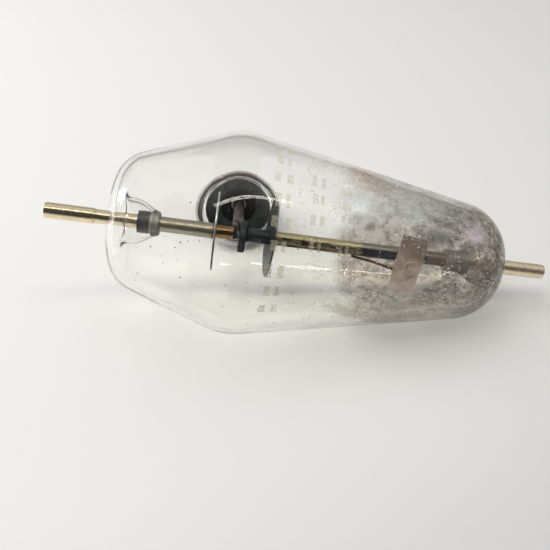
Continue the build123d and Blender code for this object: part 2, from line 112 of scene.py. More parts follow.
def rounded(points, radii, turn=radians(2.5)):
    """A polyline in (station, radius) with its inner corners rounded to these radii."""
    points = [np.array(point, float) for point in points]
    out = [points[0]]
    for before, corner, after, radius in zip(points, points[1:], points[2:], radii):
        u = unit(before - corner)
        v = unit(after - corner)
        half = acos(float(u @ v)) / 2
        centre = corner + unit(u + v) * radius / sin(half)
        first = corner + u * radius / tan(half) - centre
        last = corner + v * radius / tan(half) - centre
        start = atan2(first[1], first[0])
        sweep = (atan2(last[1], last[0]) - start + pi) % (2 * pi) - pi
        for t in np.linspace(0, 1, max(4, int(abs(sweep) / turn) + 1)):
            angle = start + sweep * t
            out.append(centre + radius * np.array([cos(angle), sin(angle)]))
    out.append(points[-1])
    return out


def spaced(points, step):
    """The same polyline with no gap over step."""
    out = [points[0]]
    for a, b in zip(points, points[1:]):
        count = max(1, int(np.ceil(np.linalg.norm(b - a) / step)))
        out += [a + (b - a) * k / count for k in range(1, count + 1)]
    return out


def softened(points, corner, reach):
    """Replaces the part of a polyline within reach of a corner with a smooth bend."""
    corner = np.array(corner, float)
    distance = [np.linalg.norm(point - corner) for point in points]
    nearest = int(np.argmin(distance))
    first = nearest
    while distance[first] < reach:
        first -= 1
    last = nearest
    while distance[last] < reach:
        last += 1
    a, b = points[first], points[last]
    bend = []
    for t in np.linspace(0, 1, 12):
        bend.append(a * (1 - t) ** 2 + corner * 2 * t * (1 - t) + b * t**2)
    return points[:first] + bend + points[last + 1 :]


def bulb_side(inset, stem_radius):
    """One face of the glass from the wide seal round to the narrow seal, as (station, radius)."""
    wide_radius = APEX_RADIUS - inset / cos(WIDE_CONE)
    narrow_radius = APEX_RADIUS - inset / cos(NARROW_CONE)
    meet = (narrow_radius - wide_radius) / (tan(WIDE_CONE) + tan(NARROW_CONE))
    left = WIDE_WALL + inset
    right = NARROW_WALL - inset
    outline = rounded(
        [
            (left, 0),
            (left, wide_radius + left * tan(WIDE_CONE)),
            (meet, wide_radius + meet * tan(WIDE_CONE)),
            (right, narrow_radius - right * tan(NARROW_CONE)),
            (right, 0),
        ],
        [WIDE_CORNER - inset, RIDGE_ROUND - inset, NARROW_CORNER - inset],
    )
    outline = spaced(outline, WALL_STEP)
    outline = [point for point in outline if point[1] > stem_radius]
    wide_end = [outline[0][0], stem_radius]
    narrow_end = [outline[-1][0], stem_radius]
    stems = []
    for glass_end, step, wall_end in ((WIDE_GLASS_END, 1, wide_end), (NARROW_GLASS_END, -1, narrow_end)):
        bead = glass_end - step * BEAD_LENGTH
        shoulder = bead - step * (STEM_RADIUS - SLEEVE_RADIUS)
        if inset:
            stem = [(glass_end, SLEEVE_GRIP), (glass_end, SLEEVE_RADIUS + LIP_GLASS)]
            stem += [(bead, SLEEVE_RADIUS + BEAD_GLASS), (shoulder, stem_radius), wall_end]
            stem = rounded(stem, STEM_BENDS, radians(4))
        else:
            stem = [(bead, SLEEVE_GRIP), (shoulder - step * LIP_GLASS, stem_radius), wall_end]
            stem = rounded(stem, [STEM_BEND], radians(4))
        stems.append(spaced(stem, STEM_STEP))
    wide_stem, narrow_stem = stems
    joined = wide_stem + outline + narrow_stem[::-1]
    less = INNER_FLARE_LESS if inset else 0.0
    joined = softened(joined, wide_end, WIDE_FLARE - less)
    joined = softened(joined, narrow_end, NARROW_FLARE - less)
    return np.array(joined)


def with_patch(line):
    """The face's (station, radius) list with the patch's stations in its middle, and their first index."""
    patch = np.linspace(ARM_STATION - PATCH, ARM_STATION + PATCH, PATCH_ROWS + 1)
    stations, radii = line[:, 0], line[:, 1]
    wide_last = int(np.argmin(stations))
    while stations[wide_last + 1] < patch[0] - PATCH_MARGIN:
        wide_last += 1
    narrow_first = wide_last + 1
    while stations[narrow_first] < patch[-1] + PATCH_MARGIN:
        narrow_first += 1
    between = slice(wide_last, narrow_first + 1)
    middle = np.stack([patch, np.interp(patch, stations[between], radii[between])], 1)
    return np.concatenate([line[: wide_last + 1], middle, line[narrow_first:]]), wide_last + 1


def waver(point, seed, depth):
    """The small unevenness of blown glass at a point in mm: 0 to depth."""
    per_mm = 0.11
    contrast = 1.5
    where = Vector(point) * per_mm + Vector((seed, seed * 1.7, seed * 2.3))
    return depth * (0.5 + 0.5 * max(-1.0, min(1.0, noise.noise(where) * contrast)))


class Mesh:
    """Collects vertices in the tube's frame, in mm, and faces."""

    def __init__(self):
        self.points = []
        self.faces = []

    def add(self, x, y, z):
        self.points.append((x, y, z))
        return len(self.points) - 1

    def strip(self, a, b, closed=True):
        """Faces between two rows of vertices."""
        count = len(a)
        for k in range(count if closed else count - 1):
            n = (k + 1) % count
            self.faces.append((a[k], a[n], b[n], b[k]))

    def build(self, name, material):
        """The finished piece, smooth-shaded, riding on the tube."""
        data = bpy.data.meshes.new(name)
        matrix = np.array(tube)
        points = np.array(self.points) * MM @ matrix[:3, :3].T + matrix[:3, 3]
        data.from_pydata(points.tolist(), [], self.faces)
        data.validate()
        obj = bpy.data.objects.new(name, data)
        bpy.context.scene.collection.objects.link(obj)
        bpy.context.view_layer.objects.active = obj
        obj.select_set(True)
        bpy.ops.object.mode_set(mode="EDIT")
        bpy.ops.mesh.select_all(action="SELECT")
        bpy.ops.mesh.normals_make_consistent(inside=False)
        bpy.ops.object.mode_set(mode="OBJECT")
        obj.select_set(False)
        data.polygons.foreach_set("use_smooth", [True] * len(data.polygons))
        data.materials.append(material)
        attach(obj, "tube")
        return obj


def lathe(mesh, line, steps=STEPS_ROUND, wave=None):
    """Rows of vertices round the tube's axis, one for each (station, radius)."""
    rows = []
    for station, radius in line:
        row = []
        for k in range(steps):
            angle = 2 * pi * k / steps
            y, z = radius * cos(angle), radius * sin(angle)
            if wave:
                shrink = 1 - waver((station, y, z), *wave) / max(radius, 1.0)
                y, z = y * shrink, z * shrink
            row.append(mesh.add(station, y, z))
        rows.append(row)
    return rows


def column(k):
    """Index round the tube of the patch's k-th column; the patch is centred on the side arm."""
    return (k - PATCH_COLUMNS // 2) % STEPS_ROUND


def patch_loop(rows, first):
    """The patch's edge, as vertices in order."""
    last = first + PATCH_ROWS
    loop = [rows[i][column(0)] for i in range(first, last)]
    loop += [rows[last][column(k)] for k in range(PATCH_COLUMNS)]
    loop += [rows[i][column(PATCH_COLUMNS)] for i in range(last, first, -1)]
    loop += [rows[first][column(k)] for k in range(PATCH_COLUMNS, 0, -1)]
    return loop


def bulb_face(mesh, inset, stem_radius, wave, neck_radius, blend, neck_top):
    """One face of the glass with its side neck.

    Returns its first row, its last row, the neck's last ring and that ring's angles.
    """
    line, first = with_patch(bulb_side(inset, stem_radius))
    rows = lathe(mesh, line, wave=wave)
    opening = {column(k) for k in range(PATCH_COLUMNS)}
    for i, (a, b) in enumerate(zip(rows, rows[1:])):
        for k in range(STEPS_ROUND):
            if first <= i < first + PATCH_ROWS and k in opening:
                continue
            n = (k + 1) % STEPS_ROUND
            mesh.faces.append((a[k], a[n], b[n], b[k]))

    stations, radii = line[first - 3 : first + PATCH_ROWS + 4].T

    def height(x, z):
        """Distance along the side arm of the face over (station, z)."""
        radius = np.interp(x, stations, radii)
        reach = sqrt(radius**2 - z**2)
        return reach * (1 - waver((x, reach, z), *wave) / radius)

    loop = patch_loop(rows, first)
    edge = [np.array(mesh.points[i]) for i in loop]
    angles = [atan2(p[2], p[0] - ARM_STATION) for p in edge]
    circle = neck_radius + blend
    previous = loop
    for t in np.linspace(0, 1, NECK_RINGS + 1)[1:]:
        ring = []
        for p, angle in zip(edge, angles):
            x = p[0] * (1 - t) + (ARM_STATION + circle * cos(angle)) * t
            z = p[2] * (1 - t) + circle * sin(angle) * t
            ring.append(mesh.add(x, height(x, z), z))
        mesh.strip(previous, ring)
        previous = ring
    corner = [height(ARM_STATION + neck_radius * cos(a), neck_radius * sin(a)) for a in angles]
    foot = [height(ARM_STATION + circle * cos(a), circle * sin(a)) for a in angles]
    for t in np.linspace(0, 1, NECK_RINGS + 1)[1:]:
        ring = []
        for angle, low, bend in zip(angles, foot, corner):
            radius = circle * (1 - t) ** 2 + neck_radius * 2 * t * (1 - t) + neck_radius * t**2
            top = min(bend + blend, neck_top - 0.1)
            reach = low * (1 - t) ** 2 + bend * 2 * t * (1 - t) + top * t**2
            ring.append(mesh.add(ARM_STATION + radius * cos(angle), reach, radius * sin(angle)))
        mesh.strip(previous, ring)
        previous = ring
    tops = [mesh.points[i][1] for i in previous]
    for t in np.linspace(0, 1, RISE_RINGS + 1)[1:]:
        ring = []
        for angle, low in zip(angles, tops):
            reach = low + (neck_top - low) * t
            ring.append(mesh.add(ARM_STATION + neck_radius * cos(angle), reach, neck_radius * sin(angle)))
        mesh.strip(previous, ring)
        previous = ring
    return rows[0], rows[-1], previous, angles


# ---- Materials ----
class Shader:
    """Adds nodes to a new material. A value is a number, a colour or another node's output."""

    def __init__(self, name):
        self.material = bpy.data.materials.new(name)
        self.material.use_nodes = True
        self.tree = self.material.node_tree
        self.tree.nodes.clear()

    def put(self, socket, value):
        """Sets or links one input."""
        if isinstance(value, bpy.types.NodeSocket):
            self.tree.links.new(value, socket)
        elif socket.type == "RGBA":
            socket.default_value = (*value, 1)
        else:
            socket.default_value = value

    def add(self, kind, inputs, out=0, **settings):
        node = self.tree.nodes.new("ShaderNode" + kind)
        for key, value in settings.items():
            setattr(node, key, value)
        for key, value in inputs.items():
            self.put(node.inputs[key], value)
        return node.outputs[out]

    def local(self):
        """The point in the tube's own frame, in mm."""
        where = self.add("TexCoord", {}, out="Object")
        values = {"Vector": where, "Location": origin, "Rotation": tube.to_euler(), "Scale": (MM,) * 3}
        return self.add("Mapping", values, vector_type="TEXTURE")

    def parts(self, vector):
        """Its x, y and z."""
        node = self.tree.nodes.new("ShaderNodeSeparateXYZ")
        self.tree.links.new(vector, node.inputs[0])
        return node.outputs

    def stretched(self, vector, scale):
        return self.add("Mapping", {"Vector": vector, "Scale": scale})

    def speckle(self, vector, scale, detail=3.0, rough=0.55, warp=0.0):
        values = {"Vector": vector, "Scale": scale, "Detail": detail, "Roughness": rough, "Distortion": warp}
        return self.add("TexNoise", values)

    def ramp(self, value, low, high):
        """0 at low to 1 at high, smoothly."""
        values = {"Value": value, "From Min": low, "From Max": high}
        return self.add("MapRange", values, interpolation_type="SMOOTHSTEP")

    def maths(self, operation, a, b=0.0):
        return self.add("Math", {0: a, 1: b}, operation=operation)

    def plus(self, a, b):
        return self.maths("ADD", a, b)

    def minus(self, a, b):
        return self.maths("SUBTRACT", a, b)

    def times(self, a, b):
        return self.maths("MULTIPLY", a, b)

    def most(self, *values):
        """The largest of several values."""
        largest = values[0]
        for value in values[1:]:
            largest = self.maths("MAXIMUM", largest, value)
        return largest

    def without(self, value, cover, share):
        """The value, less this share of it where the cover is 1."""
        return self.times(value, self.minus(1.0, self.times(cover, share)))

    def distance(self, a, b):
        """Length of the plane vector (a, b)."""
        return self.maths("SQRT", self.plus(self.times(a, a), self.times(b, b)))

    def mix(self, amount, a, b):
        return self.add("Mix", {0: amount, 6: a, 7: b}, out=2, data_type="RGBA")

    def stain(self, color, cover, strength, tint):
        """The colour, tinted where the cover is 1."""
        return self.mix(self.times(cover, strength), color, tint)

    def spot(self, vector, centre, size):
        """1 at a centre, falling to 0 at the edge of an ellipsoid."""
        values = {"Vector": vector, "Location": centre, "Scale": size}
        scaled = self.add("Mapping", values, vector_type="TEXTURE")
        return self.ramp(self.add("VectorMath", {0: scaled}, out="Value", operation="LENGTH"), 1.0, 0.2)

    def bump(self, height, strength, depth):
        """A normal from a height; depth in mm."""
        return self.add("Bump", {"Height": height, "Strength": strength, "Distance": depth * MM})

    def finish(self, surface):
        output = self.tree.nodes.new("ShaderNodeOutputMaterial")
        self.tree.links.new(surface, output.inputs["Surface"])
        return self.material

    def metal(self, color, roughness, metallic, normal):
        values = {"Base Color": color, "Roughness": roughness, "Metallic": metallic, "Normal": normal}
        return self.finish(self.add("BsdfPrincipled", values))

    def grained(self, color, roughness, metallic, grain, strength, depth):
        """Metal whose roughness and height follow one fine grain."""
        rough = self.plus(self.times(grain, 0.25), roughness)
        return self.metal(color, rough, metallic, self.bump(grain, strength, depth))


def turned_metal(name, light, dark, spots, roughness, depth):
    """Metal turned round the tube's axis: fine rings, blotches of tarnish and small spots."""
    s = Shader(name)
    where = s.local()
    blotch = s.speckle(where, 0.9, 5.0, 0.65, 0.4)
    color = s.mix(s.ramp(blotch, 0.4, 0.75), light, dark)
    fine = s.speckle(where, 5.5, 2.0)
    color = s.stain(color, s.ramp(fine, 0.62, 0.74), 0.6, spots)
    rings = s.speckle(s.stretched(where, (9.0, 0.5, 0.5)), 1.0, 4.0, 0.7)
    rough = s.plus(s.times(s.ramp(rings, 0.3, 0.7), 0.1), roughness)
    return s.metal(color, rough, 1.0, s.bump(rings, 0.5, depth))


def plain_metal(name, light, dark, roughness, metallic=1.0, scale=1.2):
    """Sheet or cast metal with uneven oxide."""
    s = Shader(name)
    where = s.local()
    blotch = s.speckle(where, scale, 6.0, 0.6, 0.5)
    color = s.mix(s.ramp(blotch, 0.4, 0.65), light, dark)
    fine = s.speckle(where, 9.0, 4.0, 0.7)
    return s.grained(color, roughness - 0.12, metallic, fine, 0.35, 0.03)


def clear_glass():
    """Clear glass; lamps shine straight through it."""
    s = Shader("clear_glass")
    glass = s.add("BsdfGlass", {"Color": (1.0, 1.0, 0.995), "Roughness": 0.0, "IOR": 1.47})
    through = s.add("BsdfTransparent", {"Color": (0.995, 0.995, 0.992)})
    shadow = s.add("LightPath", {}, out="Is Shadow Ray")
    return s.finish(s.add("MixShader", {0: shadow, 1: glass, 2: through}))


def getter_film():
    """A taupe film that thickens towards the narrow end: mottled, with curls, specks and faint colours, a
    painted sheen, a painted shadow of the getter plate and painted glints.

    It is thin on the front, the side turned away from the side arm, so the getter's plate shows through.
    """
    s = Shader("getter_film")
    where = s.local()
    x, y, z = s.parts(where)
    cloud = s.speckle(where, 0.13, 3.0, 0.55, 0.3)
    mottle = s.speckle(where, 0.45, 8.0, 0.75, 0.2)
    specks = s.speckle(where, 3.4, 5.0, 0.8)

    # where it lies: 0 on the clear cone, 1 at the narrow end, with a drifting edge
    drift = s.times(s.minus(cloud, 0.5), 1.3)
    cover = s.ramp(s.plus(s.ramp(x, 18.0, 40.0), drift), 0.1, 0.75)
    towards_front = s.plus(s.times(y, -0.94), s.times(z, 0.33))
    front = s.ramp(s.maths("DIVIDE", towards_front, s.distance(y, z)), 0.2, 0.75)
    thin = s.times(front, s.ramp(x, 50.5, 45.5))

    # light and dark taupe, brown clouds, and dark blotches at the end
    color = s.mix(s.ramp(mottle, 0.44, 0.58), (0.67, 0.59, 0.51), (0.21, 0.165, 0.13))
    color = s.stain(color, s.ramp(cloud, 0.5, 0.62), 0.45, (0.36, 0.27, 0.21))
    blotches = s.ramp(s.speckle(where, 0.8, 6.0, 0.7), 0.48, 0.54)
    color = s.stain(color, s.times(s.ramp(x, 42.0, 52.0), blotches), 0.75, (0.07, 0.055, 0.045))

    # thin dark curls, and small rings near the end
    ridge = s.maths("ABSOLUTE", s.minus(s.speckle(where, 0.75, 4.0, 0.65, 0.8), 0.5))
    curls = s.times(s.ramp(ridge, 0.016, 0.0), s.ramp(cloud, 0.42, 0.5))
    cells = s.add("TexVoronoi", {"Vector": where, "Scale": 0.7})
    rings = s.ramp(s.maths("ABSOLUTE", s.minus(cells, 0.34)), 0.07, 0.02)
    curls = s.most(curls, s.times(rings, s.ramp(x, 45.0, 50.0)))
    color = s.stain(color, curls, 0.85, (0.04, 0.032, 0.028))

    # faint colours on the front: brown where the film starts, teal and lilac; a bluish painted sheen, and a
    # painted shadow of the getter plate
    start = s.spot(where, (24.5, -5.0, 15.2), (7.5, 8.0, 4.5))
    # painted sheen: a bluish-white highlight spot on the front of the film
    painted_sheen = s.spot(where, (21.5, -12.2, 11.4), (6.0, 7.0, 3.6))
    teal = s.spot(where, (33.6, -10.6, 10.4), (5.0, 5.0, 2.6))
    low_teal = s.spot(where, (33.5, -13.2, -6.5), (4.5, 4.0, 5.0))
    teal = s.most(teal, s.times(low_teal, 0.7))
    lilac = s.spot(where, (46.3, -9.6, 8.0), (4.5, 5.0, 3.0))
    # painted shadow: a dark spot on the film where the getter plate's shadow falls
    shade = s.spot(where, (37.5, -11.6, 7.4), (7.0, 4.0, 2.4))
    color = s.stain(color, start, 0.8, (0.5, 0.35, 0.23))
    color = s.stain(color, painted_sheen, 1.0, (0.88, 0.95, 0.98))
    color = s.stain(color, teal, 0.8, (0.56, 0.68, 0.67))
    color = s.stain(color, lilac, 0.9, (0.84, 0.68, 0.87))
    color = s.stain(color, shade, 0.85, (0.1, 0.11, 0.105))

    # painted glints: pale specks in clusters
    clusters = s.ramp(s.speckle(where, 0.22, 2.0), 0.46, 0.6)
    painted_glints = s.times(s.ramp(s.speckle(where, 2.3, 1.0, 0.5), 0.64, 0.665), clusters)
    color = s.mix(painted_glints, color, (0.98, 0.98, 0.96))

    # how much of it hides what is behind: denser in the dark mottle and at the end, lighter above
    dense = s.plus(s.times(s.ramp(mottle, 0.4, 0.6), 0.28), 0.58)
    dense = s.plus(dense, s.times(s.ramp(x, 44.0, 52.0), 0.12))
    dense = s.without(dense, thin, 0.9)
    dense = s.without(dense, s.times(s.ramp(z, 2.0, 9.0), s.ramp(x, 47.0, 37.0)), 0.3)
    bare = s.plus(s.times(s.ramp(specks, 0.32, 0.42), 0.5), 0.5)
    amount = s.times(s.times(cover, dense), bare)
    tint = s.most(painted_sheen, s.times(start, 0.8), s.times(s.most(teal, lilac), 0.75), s.times(shade, 0.9))
    tint = s.without(tint, s.ramp(mottle, 0.42, 0.56), 0.45)
    lines = s.times(curls, s.minus(0.7, s.times(thin, 0.5)))
    lines = s.times(lines, s.ramp(x, 24.0, 32.0))
    amount = s.most(amount, tint, lines, s.times(painted_glints, 0.85))
    amount = s.without(amount, s.add("LightPath", {}, out="Is Shadow Ray"), 0.6)

    grain = s.bump(specks, 0.5, 0.02)
    values = {"Base Color": color, "Metallic": 0.3, "Roughness": 0.3, "Normal": grain}
    surface = s.add("BsdfPrincipled", values)
    clear = s.add("BsdfTransparent", {"Color": (1, 1, 1)})
    return s.finish(s.add("MixShader", {0: amount, 1: clear, 2: surface}))


def worn_ink():
    """Pale yellow ink, thin and worn."""
    s = Shader("worn_ink")
    wear = s.ramp(s.speckle(s.local(), 3.0, 5.0, 0.7), 0.3, 0.6)
    ink = s.add("BsdfPrincipled", {"Base Color": (0.66, 0.62, 0.42), "Roughness": 0.7})
    clear = s.add("BsdfTransparent", {"Color": (1, 1, 1)})
    amount = s.plus(s.times(wear, 0.35), 0.12)
    return s.finish(s.add("MixShader", {0: amount, 1: clear, 2: ink}))


def stained_tube_with_highlight():
    """Nickel stained by heating: brown with a yellow painted highlight along the top, then blue-black,
    lighter along the top as a painted highlight, then brown again.
    """
    s = Shader("stained_support")
    where = s.local()
    x, _, z = s.parts(where)
    streak = s.speckle(s.stretched(where, (0.35, 1.6, 1.6)), 1.0, 5.0, 0.7, 0.6)
    brown = s.mix(s.ramp(streak, 0.42, 0.56), (0.34, 0.27, 0.17), (0.04, 0.028, 0.022))
    # painted highlight: a yellow line along the top of the brown
    line = s.ramp(z, 0.5, 1.0)
    brown = s.stain(brown, line, 0.7, (0.62, 0.55, 0.33))
    # painted highlight: the blue-black is lighter along the top
    blue = s.mix(line, (0.018, 0.022, 0.035), (0.3, 0.26, 0.22))
    edge = s.plus(x, s.times(streak, 2.5))
    color = s.mix(s.ramp(edge, 27.8, 28.6), brown, blue)
    color = s.mix(s.ramp(x, 40.5, 41.5), color, (0.2, 0.15, 0.11))
    fine = s.speckle(where, 6.0, 4.0, 0.7)
    return s.metal(color, 0.42, 0.85, s.bump(fine, 0.5, 0.04))


def getter_metal():
    """Pinkish nickel, painted darker brown towards its top and the narrow end as painted shade, lighter at
    its lit left and lower edges.
    """
    s = Shader("getter_nickel")
    where = s.local()
    x, _, z = s.parts(where)
    blotch = s.speckle(where, 0.3, 6.0, 0.6, 0.5)
    pink = s.mix(s.ramp(blotch, 0.4, 0.65), (0.76, 0.62, 0.53), (0.5, 0.38, 0.32))
    # painted light and shade: darker brown towards the top and the narrow end, lighter at the left and bottom
    # where the light falls
    height = s.plus(s.times(z, 0.8), s.times(s.minus(x, 37.0), 0.5))
    painted_shade_ramp = s.ramp(s.plus(height, s.times(blotch, 3.0)), 0.0, 3.0)
    color = s.stain(pink, painted_shade_ramp, 0.85, (0.22, 0.135, 0.1))
    fine = s.speckle(where, 9.0, 4.0, 0.7)
    return s.grained(color, 0.35, 0.45, fine, 0.35, 0.03)


def wide_shield_steel():
    """Steel painted bright over the axis, where light falls on it, and painted dark brown shade below it."""
    s = Shader("wide_shield_steel")
    where = s.local()
    _, _, z = s.parts(where)
    blotch = s.speckle(where, 0.7, 5.0, 0.6, 0.4)
    bright = s.mix(s.ramp(blotch, 0.4, 0.65), (0.62, 0.66, 0.7), (0.34, 0.37, 0.4))
    brown = s.mix(s.ramp(blotch, 0.4, 0.6), (0.17, 0.11, 0.095), (0.06, 0.04, 0.038))
    edge = s.plus(z, s.times(blotch, 3.0))
    # painted light and shade: lit steel above the axis, shaded brown below
    color = s.mix(s.ramp(edge, 0.6, 2.6), brown, bright)
    fine = s.speckle(where, 9.0, 4.0, 0.7)
    return s.grained(color, 0.2, 0.9, fine, 0.3, 0.02)


def seal_ring():
    """The side neck's sealing ring: dark oxide inside, brownish copper under the glass."""
    s = Shader("copper_seal")
    where = s.local()
    x, _, z = s.parts(where)
    reach = s.distance(s.minus(x, ARM_STATION), z)
    blotch = s.ramp(s.speckle(where, 1.6, 5.0, 0.65, 0.5), 0.4, 0.62)
    inside = s.mix(blotch, (0.11, 0.138, 0.128), (0.045, 0.06, 0.056))
    outside = s.mix(blotch, (0.42, 0.33, 0.29), (0.2, 0.14, 0.12))
    color = s.mix(s.ramp(reach, SEAL_RADIUS - 0.22, SEAL_RADIUS - 0.1), inside, outside)
    fine = s.speckle(where, 9.0, 4.0, 0.7)
    return s.metal(color, 0.38, 0.75, s.bump(fine, 0.4, 0.03))


def seal_alloy():
    """Oxidised sealing sleeve: sparkling graphite black at the outer end, striated grey at the inner end."""
    s = Shader("seal_alloy")
    where = s.local()
    x, _, _ = s.parts(where)
    grains = s.speckle(where, 6.0, 3.0, 0.8)
    black = s.mix(s.ramp(grains, 0.6, 0.7), (0.03, 0.03, 0.032), (0.45, 0.45, 0.44))
    rings = s.speckle(s.stretched(where, (4.0, 0.2, 0.2)), 1.0, 2.0)
    grey = s.mix(s.ramp(rings, 0.4, 0.6), (0.36, 0.335, 0.3), (0.24, 0.22, 0.195))
    color = s.mix(s.ramp(x, WIDE_SEAL - 2.1, WIDE_SEAL - 1.9), black, grey)
    return s.metal(color, 0.45, 0.8, s.bump(grains, 0.6, 0.05))


def pale_floor():
    """A matt pale sheet, with painted shade: a little darker towards the near edge, where the light falls
    off.
    """
    s = Shader("floor")
    where = s.add("TexCoord", {}, out="Object")
    color = s.mix(s.speckle(where, 5.0, 2.0), (0.80, 0.80, 0.80), (0.84, 0.84, 0.838))
    x, y, _ = s.parts(where)
    # painted shade: darker towards the near edge
    painted_falloff = s.ramp(s.minus(s.times(x, 0.5), y), 0.03, 0.12)
    color = s.mix(painted_falloff, color, (0.62, 0.615, 0.625))
    surface = s.add("BsdfPrincipled", {"Base Color": color, "Roughness": 0.75, "Metallic": 0.0})
    return s.finish(surface)


glass = clear_glass()
brass_colors = (0.93, 0.81, 0.58), (0.74, 0.6, 0.4), (0.34, 0.23, 0.14)
nickel_colors = (0.46, 0.42, 0.33), (0.34, 0.3, 0.23), (0.25, 0.2, 0.15)
bronze_colors = (0.36, 0.22, 0.1), (0.1, 0.055, 0.03), (0.7, 0.36, 0.12)
terminal_metal = turned_metal("terminal_metal", *brass_colors, 0.18, 0.003)
nickel = turned_metal("support_nickel", *nickel_colors, 0.3, 0.004)
stained_and_highlit = stained_tube_with_highlight()
seal = seal_alloy()
bronze = turned_metal("bronze_contact", *bronze_colors, 0.16, 0.008)
dark_contact = plain_metal("dark_contact", (0.035, 0.05, 0.052), (0.012, 0.016, 0.02), 0.45, 0.6)
shield_steel = plain_metal("shield_steel", (0.1, 0.115, 0.125), (0.035, 0.042, 0.055), 0.4, 0.9, 0.5)
getter_nickel = getter_metal()
wire_metal = plain_metal("getter_wire", (0.16, 0.05, 0.035), (0.05, 0.018, 0.014), 0.5, 0.6)
copper = seal_ring()
cup_steel = plain_metal("cup_steel", (0.1, 0.128, 0.118), (0.035, 0.05, 0.046), 0.42, 0.55, 0.5)
# painted shade: the diaphragm is near black, standing in for the shade deep in the side cup
diaphragm_steel = plain_metal("diaphragm_steel", (0.014, 0.015, 0.016), (0.004, 0.004, 0.005), 0.45, 0.5, 0.8)
lever_metal = plain_metal("lever_metal", (0.42, 0.34, 0.33), (0.2, 0.15, 0.15), 0.4, 0.9, 0.8)
bracket_metal = plain_metal("bracket_metal", (0.32, 0.33, 0.34), (0.14, 0.15, 0.16), 0.42, 0.9, 0.8)

finishes = {
    "wide_end_seal_sleeve": seal,
    "narrow_end_seal_sleeve": seal,
    "wide_end_terminal": terminal_metal,
    "wide_end_ferrule": terminal_metal,
    "narrow_end_terminal": terminal_metal,
    "narrow_end_support_tube": stained_and_highlit,
    "wide_end_contact": bronze,
    "wide_end_contact_tip": dark_contact,
    "narrow_end_contact": dark_contact,
    "wide_end_shield_collar": bronze,
    "wide_end_arc_shield": wide_shield_steel(),
    "narrow_end_arc_shield": shield_steel,
    "narrow_end_shield_collar": stained_and_highlit,
    "getter_plate": getter_nickel,
    "getter_cup": getter_nickel,
    "getter_wire": wire_metal,
    "side_seal_sleeve": copper,
    "side_cup": cup_steel,
    "diaphragm_clamp_ring": cup_steel,
    "diaphragm": diaphragm_steel,
    "lever_hub": lever_metal,
    "contact_arm": lever_metal,
    "moving_contact": dark_contact,
    "contact_bracket": bracket_metal,
    "operating_lever": lever_metal,
}
for node, material in finishes.items():
    data = frame["nodes"][node].data
    data.materials.clear()
    data.materials.append(material)

# ---- The bulb, its side neck and both stems, in one piece of glass ----
bulb = Mesh()
stem_bore = STEM_RADIUS - STEM_GLASS
outer_top = NECK_END - NECK_SHOULDER
inner_top = NECK_END - 2 * NECK_SHOULDER
outer = bulb_face(bulb, 0.0, stem_bore, OUTER_WAVE, NECK_RADIUS, OUTER_FOOT, outer_top)
inner = bulb_face(bulb, GLASS, STEM_RADIUS, INNER_WAVE, NECK_BORE, INNER_FOOT, inner_top)
bulb.strip(outer[0], inner[0])
bulb.strip(outer[1], inner[1])
seal_edge = SEAL_RADIUS - SEAL_GRIP
rim = []
for t in np.linspace(0, pi / 2, 9)[1:]:
    radius = NECK_RADIUS - NECK_SHOULDER * (1 - cos(t))
    rim.append((radius, NECK_END - NECK_SHOULDER * (1 - sin(t))))
rim += [(seal_edge, NECK_END), (seal_edge, NECK_END - NECK_SHOULDER)]
for t in np.linspace(pi / 2, 0, 7)[:-1]:
    radius = NECK_BORE - NECK_SHOULDER * INNER_TURN * (1 - cos(t))
    rim.append((radius, inner_top + NECK_SHOULDER * sin(t)))
previous = outer[2]
for radius, reach in rim:
    ring = []
    for angle in outer[3]:
        ring.append(bulb.add(ARM_STATION + radius * cos(angle), reach, radius * sin(angle)))
    bulb.strip(previous, ring)
    previous = ring
bulb.strip(previous, inner[2])
glass_bulb = bulb.build("glass_bulb", glass)
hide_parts("glass_envelope", "wide_end_stem", "narrow_end_stem")

# ---- The finely ringed tube behind the wide-end contact ----
LEAD_RADIUS = 1.42
TUBE_RADIUS = 1.57
TUBE_BORE = 0.9
TUBE_START = WIDE_SEAL - 2.15
TUBE_END = -3.9
RING_PITCH = 0.36
RING_DEPTH = 0.03
ringed = Mesh()
profile = [(TUBE_START, TUBE_BORE), (TUBE_START, LEAD_RADIUS)]
profile += [(WIDE_SEAL, LEAD_RADIUS), (WIDE_SEAL, TUBE_RADIUS)]
for station in np.arange(WIDE_SEAL + 0.06, TUBE_END - 0.1, RING_PITCH / 8):
    uneven = 0.6 + 0.4 * sin(station * 3.1)
    dip = RING_DEPTH * (0.5 + 0.5 * cos(2 * pi * station / RING_PITCH)) * uneven
    profile.append((station, TUBE_RADIUS - dip))
profile += [(TUBE_END, TUBE_RADIUS), (TUBE_END, TUBE_BORE)]
ringed_rows = lathe(ringed, profile, steps=64)
for a, b in zip(ringed_rows, ringed_rows[1:] + ringed_rows[:1]):
    ringed.strip(a, b)
ringed_tube = ringed.build("ringed_support_tube", nickel)
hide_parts("wide_end_support_tube")

# ---- The film inside the narrow end ----
FILM_START = 14.0
FILM_END_RADIUS = STEM_RADIUS - 1.1  # on the shoulder of the stem
FILM_DEPTH = 0.04  # under the inner face of the glass, so that light meets the film before the vacuum
film_line = bulb_side(GLASS - FILM_DEPTH, STEM_RADIUS - FILM_DEPTH)
film_line = np.array([p for p in film_line if p[0] > FILM_START and p[1] > FILM_END_RADIUS])
film_mesh = Mesh()
film_rows = lathe(film_mesh, film_line, wave=INNER_WAVE)
for a, b in zip(film_rows, film_rows[1:]):
    film_mesh.strip(a, b)
film_mesh.build("getter_film", getter_film())

